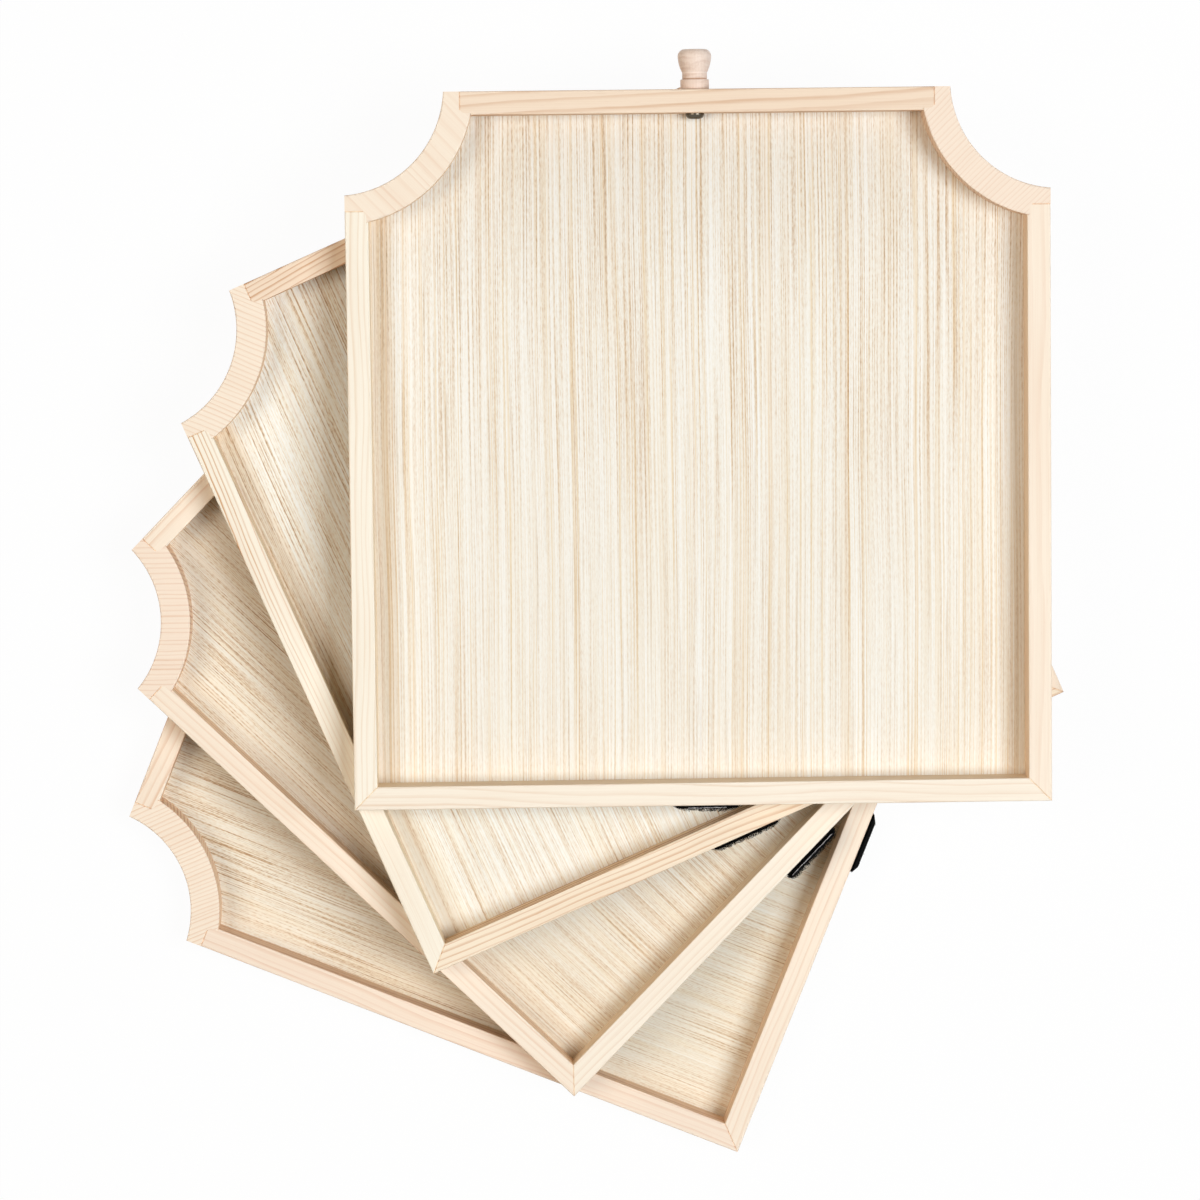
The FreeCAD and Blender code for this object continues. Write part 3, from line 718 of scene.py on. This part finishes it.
def hook_tape_tree():
    """Moulded tape: a rounded backing and rows of small bent hooks."""
    web, entry, exit_node = geometry_tree("hook tape", [
        "Length", "Height", "Corner", "Backing", "Hook Height", "Hook Thickness", "Row Spacing"])
    _, sheet = rounded_sheet(web, entry["Length"], entry["Height"], entry["Corner"])
    plate = backing(web, sheet, entry["Backing"])
    run = web.maths("SUBTRACT", entry["Length"], entry["Row Spacing"])
    rise = web.maths("SUBTRACT", entry["Height"], entry["Row Spacing"])
    grid = web.add("GeometryNodeMeshGrid", {
        "Size X": run, "Size Y": rise,
        "Vertices X": web.maths("CEIL", web.maths("DIVIDE", run, entry["Row Spacing"])),
        "Vertices Y": web.maths("CEIL", web.maths("DIVIDE", rise, entry["Row Spacing"]))})
    tall = entry["Hook Height"]
    bend = web.add("GeometryNodeCurvePrimitiveBezierSegment", {
        "Resolution": 6,
        "Start": (0, 0, 0),
        "Start Handle": web.add("ShaderNodeCombineXYZ", {2: tall}),
        "End Handle": web.add("ShaderNodeCombineXYZ", {
            0: web.maths("MULTIPLY", tall, 0.7), 2: web.maths("MULTIPLY", tall, 1.35)}),
        "End": web.add("ShaderNodeCombineXYZ", {
            0: web.maths("MULTIPLY", tall, 0.55), 2: web.maths("MULTIPLY", tall, 0.55)}),
    })
    hook = strand(web, bend, entry["Hook Thickness"], 4)
    hooks = scatter(web, grid, hook, any_turn(web, 0.12, entry["Seed"]),
                    any_size(web, 0.85, 1.05, entry["Seed"]))
    end_tree(web, join(web, plate, raised(web, hooks, entry["Backing"])), entry["Finish"], exit_node)
    return web.tree


def loop_tape_tree():
    """Napped tape: a rounded backing, a pile of thread loops on it and stray ends at its rim. The
    pile stands up in tufts. The tape grows shorter away from its base: by the taper, for each unit
    of height."""
    web, entry, exit_node = geometry_tree("loop tape", [
        "Length", "Height", "Corner", "Backing", "Loop Radius", "Thread", "Loops Each Millimetre",
        "Stray Ends", "Taper", "Tuft Width"])
    outline, sheet = rounded_sheet(web, entry["Length"], entry["Height"], entry["Corner"])
    plate = backing(web, sheet, entry["Backing"])
    density = web.maths("MULTIPLY", entry["Loops Each Millimetre"], 1.0 / (MM * MM))
    points = web.add("GeometryNodeDistributePointsOnFaces", {
        "Mesh": sheet, "Density": density, "Seed": entry["Seed"]})
    ring = web.add("GeometryNodeCurveArc", {
        "Resolution": 7, "Radius": entry["Loop Radius"], "Start Angle": math.radians(-50),
        "Sweep Angle": math.radians(280)})
    loop = strand(web, ring, entry["Thread"], 3)
    loop = web.add("GeometryNodeTransform", {
        "Geometry": loop, "Rotation": (math.pi / 2, 0, 0),
        "Translation": web.add("ShaderNodeCombineXYZ", {
            2: web.maths("MULTIPLY", entry["Loop Radius"], 0.8)})})
    position = web.tree.nodes.new("GeometryNodeInputPosition").outputs[0]
    tufts = web.add("ShaderNodeTexNoise", {
        "Vector": position, "W": entry["Seed"], "Scale": web.maths("DIVIDE", 1.0, entry["Tuft Width"]),
        "Detail": 1.0}, noise_dimensions="4D")
    growth = web.ramp(tufts, 0.38, 0.66, 0.2, 1.25)
    loops = scatter(web, points, loop, any_turn(web, 0.6, entry["Seed"]), web.maths(
        "MULTIPLY", growth, any_size(web, 0.75, 1.15, entry["Seed"])))
    rim = web.add("GeometryNodeCurveToPoints", {"Curve": outline, "Count": entry["Stray Ends"]},
                  mode="COUNT")
    curl = web.add("GeometryNodeCurveArc", {
        "Resolution": 5, "Radius": web.maths("MULTIPLY", entry["Loop Radius"], 1.3),
        "Start Angle": math.pi, "Sweep Angle": math.radians(-115)})
    stray = strand(web, curl, entry["Thread"], 3)
    later = web.maths("ADD", entry["Seed"], 5.0)
    strays = scatter(web, rim, stray, any_turn(web, 1.6, later), any_size(web, 0.5, 1.4, later))
    pile = join(web, raised(web, loops, entry["Backing"]), raised(web, strays, entry["Backing"]))
    whole = web.add("GeometryNodeRealizeInstances", {"Geometry": join(web, plate, pile)})
    across, along, up = web.parts(position)
    narrowing = web.maths("SUBTRACT", 1.0, web.maths("MULTIPLY", up, entry["Taper"]))
    whole = web.add("GeometryNodeSetPosition", {
        "Geometry": whole, "Position": web.add("ShaderNodeCombineXYZ", {
            0: web.maths("MULTIPLY", across, narrowing), 1: along, 2: up})})
    end_tree(web, whole, entry["Finish"], exit_node)
    return web.tree


def highlight_thread_tree():
    """Pale, shiny thread along a tape's edge that paints the edge's highlight; a little wavy: its waves
    are about 2 mm long.
    """
    web, entry, exit_node = geometry_tree("highlight thread", ["Length", "Radius", "Wave"])
    half = web.maths("MULTIPLY", entry["Length"], 0.5)
    line = web.add("GeometryNodeCurvePrimitiveLine", {
        "Start": web.add("ShaderNodeCombineXYZ", {0: web.maths("MULTIPLY", half, -1.0)}),
        "End": web.add("ShaderNodeCombineXYZ", {0: half})})
    line = web.add("GeometryNodeResampleCurve", {"Curve": line, "Count": 60})
    position = web.tree.nodes.new("GeometryNodeInputPosition").outputs[0]
    wave = web.add("ShaderNodeTexNoise", {
        "Vector": position, "W": entry["Seed"], "Scale": 500.0, "Detail": 1.0},
        out="Color", noise_dimensions="4D")
    wave = web.vectors("SUBTRACT", wave, (0.5, 0.5, 0.5))
    line = web.add("GeometryNodeSetPosition", {"Geometry": line, "Offset": web.vectors(
        "MULTIPLY", wave, web.add("ShaderNodeCombineXYZ", {1: entry["Wave"], 2: entry["Wave"]}))})
    end_tree(web, strand(web, line, entry["Radius"], 6), entry["Finish"], exit_node)
    return web.tree


HOOK_TAPE = hook_tape_tree()
LOOP_TAPE = loop_tape_tree()
HIGHLIGHT_THREAD = highlight_thread_tree()


def made_by_tree(name, tree, values, matrix):
    """Plain mesh object that a geometry tree makes with the given values, put in place."""
    maker = bpy.data.objects.new("maker", bpy.data.meshes.new("maker"))
    bpy.context.scene.collection.objects.link(maker)
    modifier = maker.modifiers.new("shape", "NODES")
    modifier.node_group = tree
    labels = {item.name: item.identifier for item in tree.interface.items_tree
              if item.in_out == "INPUT"}
    for label, value in values.items():
        modifier[labels[label]] = value
    graph = bpy.context.evaluated_depsgraph_get()
    mesh = bpy.data.meshes.new_from_object(maker.evaluated_get(graph))
    bpy.data.objects.remove(maker)
    mesh.transform(matrix)
    mesh.name = name
    piece = bpy.data.objects.new(name, mesh)
    bpy.context.scene.collection.objects.link(piece)
    return piece


FLAT_PAD_TRAY = 4         # its pad has lost its nap
# (size of the loops in loop radii, loops on each square millimetre, stray ends at the rim)
FLAT_NAP = (0.3, 0.4, 12)
RAGGED_NAP = (1.0, 2.6, 320)
PAD_CORNER = 1.5 * MM
TAPE_BACKING = 0.5 * MM
HOOK_CURL = 1.1           # a hook's height for each unit of the tree's hook height
HOOK_THICKNESS = 0.1 * MM
HOOK_SPACING = 1.1 * MM
LOOP_RADIUS = 0.78 * MM   # of a ragged pad's loops
LOOP_RISE = 1.8           # height of the pile over the backing, in loop radii
LOOP_THREAD = 0.05 * MM
TUFT_WIDTH = 1.3 * MM
HIGHLIGHT_SHARES = {1: 0.62, 3: 0.86}       # of a pad's length, where a pale thread paints the hook tape edge's highlight
HIGHLIGHT_RADIUS = 0.16 * MM
HIGHLIGHT_WAVE = 0.5 * MM
HIGHLIGHT_INSET = 0.1 * MM


def pad_matrix(number, low, high):
    """Frame on a pad's inner face: x along the rail, y up, z away from the rail."""
    place = Matrix.Translation(((low.x + high.x) / 2, high.y, (low.z + high.z) / 2))
    return TRAY_FRAMES[number] @ place @ Matrix.Rotation(math.pi / 2, 4, "X")


def outer_length(number, piece):
    """Length of a pad's outer face, where its ends have tapered in."""
    corners = corners_in_tray(number, piece)
    outer = min(c.y for c in corners) + 0.05 * MM
    ends = [c.x for c in corners if c.y < outer]
    return max(ends) - min(ends)


def make_highlight_thread(number, inner, size, finish_of_thread):
    """Pale thread along the top edge of a hook tape, where the two halves meet: a painted highlight."""
    edge = inner @ Matrix.Translation((0, size.z / 2 - HIGHLIGHT_INSET, size.y))
    thread = made_by_tree(f"tray_{number}_highlight_thread", HIGHLIGHT_THREAD, {
        "Length": HIGHLIGHT_SHARES[number] * size.x, "Radius": HIGHLIGHT_RADIUS, "Wave": HIGHLIGHT_WAVE,
        "Seed": number, "Finish": finish_of_thread}, edge)
    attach(thread, f"tray_{number}")


def make_pads(number, hook_finish, loop_finish, highlight_finish):
    """The two halves of a tray's hook-and-loop pad, on the back rail."""
    low, high = size_in_tray(number, "hook_pad")
    size = high - low
    if number in HIGHLIGHT_SHARES:
        make_highlight_thread(number, pad_matrix(number, low, high), size, highlight_finish)
    hook = made_by_tree(f"tray_{number}_hook_tape", HOOK_TAPE, {
        "Length": size.x, "Height": size.z, "Corner": PAD_CORNER, "Backing": TAPE_BACKING,
        "Hook Height": (size.y - TAPE_BACKING) / HOOK_CURL, "Hook Thickness": HOOK_THICKNESS,
        "Row Spacing": HOOK_SPACING, "Seed": number, "Finish": hook_finish,
    }, pad_matrix(number, low, high))
    low, high = size_in_tray(number, "loop_pad")
    size = high - low
    flat = number == FLAT_PAD_TRAY
    loop_size, loops, stray_ends = FLAT_NAP if flat else RAGGED_NAP
    loop = made_by_tree(f"tray_{number}_loop_tape", LOOP_TAPE, {
        "Length": size.x, "Height": size.z, "Corner": PAD_CORNER,
        "Backing": size.y if flat else size.y - LOOP_RISE * LOOP_RADIUS,
        "Loop Radius": LOOP_RADIUS * loop_size, "Thread": LOOP_THREAD,
        "Loops Each Millimetre": loops, "Stray Ends": stray_ends,
        "Taper": (1 - outer_length(number, "loop_pad") / size.x) / size.y,
        "Tuft Width": TUFT_WIDTH, "Seed": 10 + number, "Finish": loop_finish,
    }, pad_matrix(number, low, high))
    for piece, node in ((hook, "hook_pad"), (loop, "loop_pad")):
        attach(piece, f"tray_{number}")
        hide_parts(f"tray_{number}_{node}")


# ---- dressing the trays ----

NICKEL = linear(92, 85, 74)
DRAWN_WIRE = linear(170, 168, 164)


def dress_trays():
    """Finishes every piece of every tray, and makes the pads."""
    screw_finish = bright_metal("nickel plate", NICKEL, 0.14, 0.08)
    brad_finish = bright_metal("drawn wire", DRAWN_WIRE, 0.32, 0.2)
    hook_finish = nylon_black_or_highlight("hook nylon", 0.003, 0.9 * MM, 0.1)
    loop_finish = nylon_black_or_highlight("napped nylon", 0.003, 0.6 * MM, 0.04)
    # painted highlight: pale, glossy nylon for the thread on the hook tape's edge
    highlight_finish = nylon_black_or_highlight("highlight nylon", 0.45, 0.4 * MM, 0.5)
    rail_low, rail_high = size_in_tray(1, "front_rail")
    # Half the width and depth of a tray, to the middle of its rails.
    half = Vector((size_in_tray(1, "right_rail")[1].x, rail_high.y, 0))
    half -= Vector((1, 1, 0)) * (rail_high.y - rail_low.y) / 2
    for number in TRAY_FRAMES:
        finish_pine(number, half)
        finish_panel(number)
        finish_knob(number)
        finish(f"tray_{number}_knob_screw", screw_finish)
        finish(f"tray_{number}_panel_brads", brad_finish)
        finish(f"tray_{number}_corner_brads", brad_finish)
        make_pads(number, hook_finish, loop_finish, highlight_finish)


# ---- floor, light and camera ----

FLOOR_HALF = 6.0
FLOOR_DROP = 0.2 * MM     # keeps the floor clear of the rails' undersides
FLOOR_GLOW = 0.955        # share of the floor's seen colour that no shadow darkens
FLOOR_PAINT = (0.88, 0.88, 0.88, 1)
WHITE = (1, 1, 1, 1)


def seen_directly(web):
    """1 for rays that show the background: from the camera, a mirror image or through glass."""
    rays = web.tree.nodes.new("ShaderNodeLightPath").outputs
    seen = web.maths("MAXIMUM", rays["Is Camera Ray"], rays["Is Glossy Ray"])
    return web.maths("MAXIMUM", seen, rays["Is Transmission Ray"])


def make_floor():
    """Wide white floor that keeps a soft shadow."""
    mesh = bpy.data.meshes.new("floor")
    corners = [(x * FLOOR_HALF, y * FLOOR_HALF, -FLOOR_DROP)
               for x, y in ((-1, -1), (1, -1), (1, 1), (-1, 1))]
    mesh.from_pydata(corners, [], [(0, 1, 2, 3)])
    floor = bpy.data.objects.new("floor", mesh)
    bpy.context.scene.collection.objects.link(floor)
    material = bpy.data.materials.new("white floor")
    material.use_nodes = True
    web = Web(material.node_tree)
    web.tree.nodes.remove(web.tree.nodes["Principled BSDF"])
    paint = web.add("ShaderNodeBsdfDiffuse", {"Color": FLOOR_PAINT})
    glow = web.add("ShaderNodeEmission", {"Color": WHITE, "Strength": 1.0})
    share = web.maths("MULTIPLY", seen_directly(web), FLOOR_GLOW)
    look = web.add("ShaderNodeMixShader", {0: share, 1: paint, 2: glow})
    web.feed(web.tree.nodes["Material Output"].inputs["Surface"], look)
    mesh.materials.append(material)


AMBIENT = 0.045           # strength of the even light, where 1 is white
SHADE_COLOUR = (1.0, 0.66, 0.36, 1)


def make_world():
    """White where it is seen, and a weaker, warmer even light on the object."""
    world = bpy.data.worlds.new("studio")
    bpy.context.scene.world = world
    world.use_nodes = True
    web = Web(world.node_tree)
    seen = seen_directly(web)
    background = world.node_tree.nodes["Background"]
    web.feed(background.inputs["Strength"], web.ramp(seen, 0.0, 1.0, AMBIENT, 1.0, "LINEAR"))
    web.feed(background.inputs["Color"], web.mix(seen, SHADE_COLOUR, WHITE))


SOFTBOX_SIZE = 1.7
SOFTBOX_AIM = Vector((0, 0, 0))
# (name, place, power in watts, colour)
SOFTBOXES = (
    ("right softbox", (1.7, -0.13, 3.0), 98.5, (0.87, 0.925, 0.982)),
    ("left softbox", (-1.9, 0.18, 2.87), 52.0, (1.0, 0.895, 0.775)),
)


def make_softbox(name, place, power, colour):
    """Square softbox at a place, turned to face the object."""
    light = bpy.data.lights.new(name, "AREA")
    light.shape = "SQUARE"
    light.size = SOFTBOX_SIZE
    light.energy = power
    light.color = colour
    lamp = bpy.data.objects.new(name, light)
    lamp.location = place
    lamp.rotation_euler = (SOFTBOX_AIM - Vector(place)).to_track_quat("-Z", "Y").to_euler()
    lamp.visible_camera = False
    bpy.context.scene.collection.objects.link(lamp)


CAMERA_PLACE = (-0.0293, 0.1605, 1.8682)
CAMERA_TURN = (-4.797, -1.102, -0.669)     # degrees
CAMERA_LENS = 126.45      # lens and sensor in millimetres
SENSOR = 36.0
CAMERA_REACH = 100


def make_camera():
    """Camera almost straight above the fan."""
    data = bpy.data.cameras.new("camera")
    data.sensor_fit = "HORIZONTAL"
    data.sensor_width = SENSOR
    data.lens = CAMERA_LENS
    data.clip_end = CAMERA_REACH
    camera = bpy.data.objects.new("camera", data)
    camera.location = CAMERA_PLACE
    camera.rotation_euler = Euler([math.radians(a) for a in CAMERA_TURN])
    bpy.context.scene.collection.objects.link(camera)
    bpy.context.scene.camera = camera


dress_trays()
make_floor()
make_world()
for softbox in SOFTBOXES:
    make_softbox(*softbox)
make_camera()
bpy.context.scene.view_settings.view_transform = "Standard"
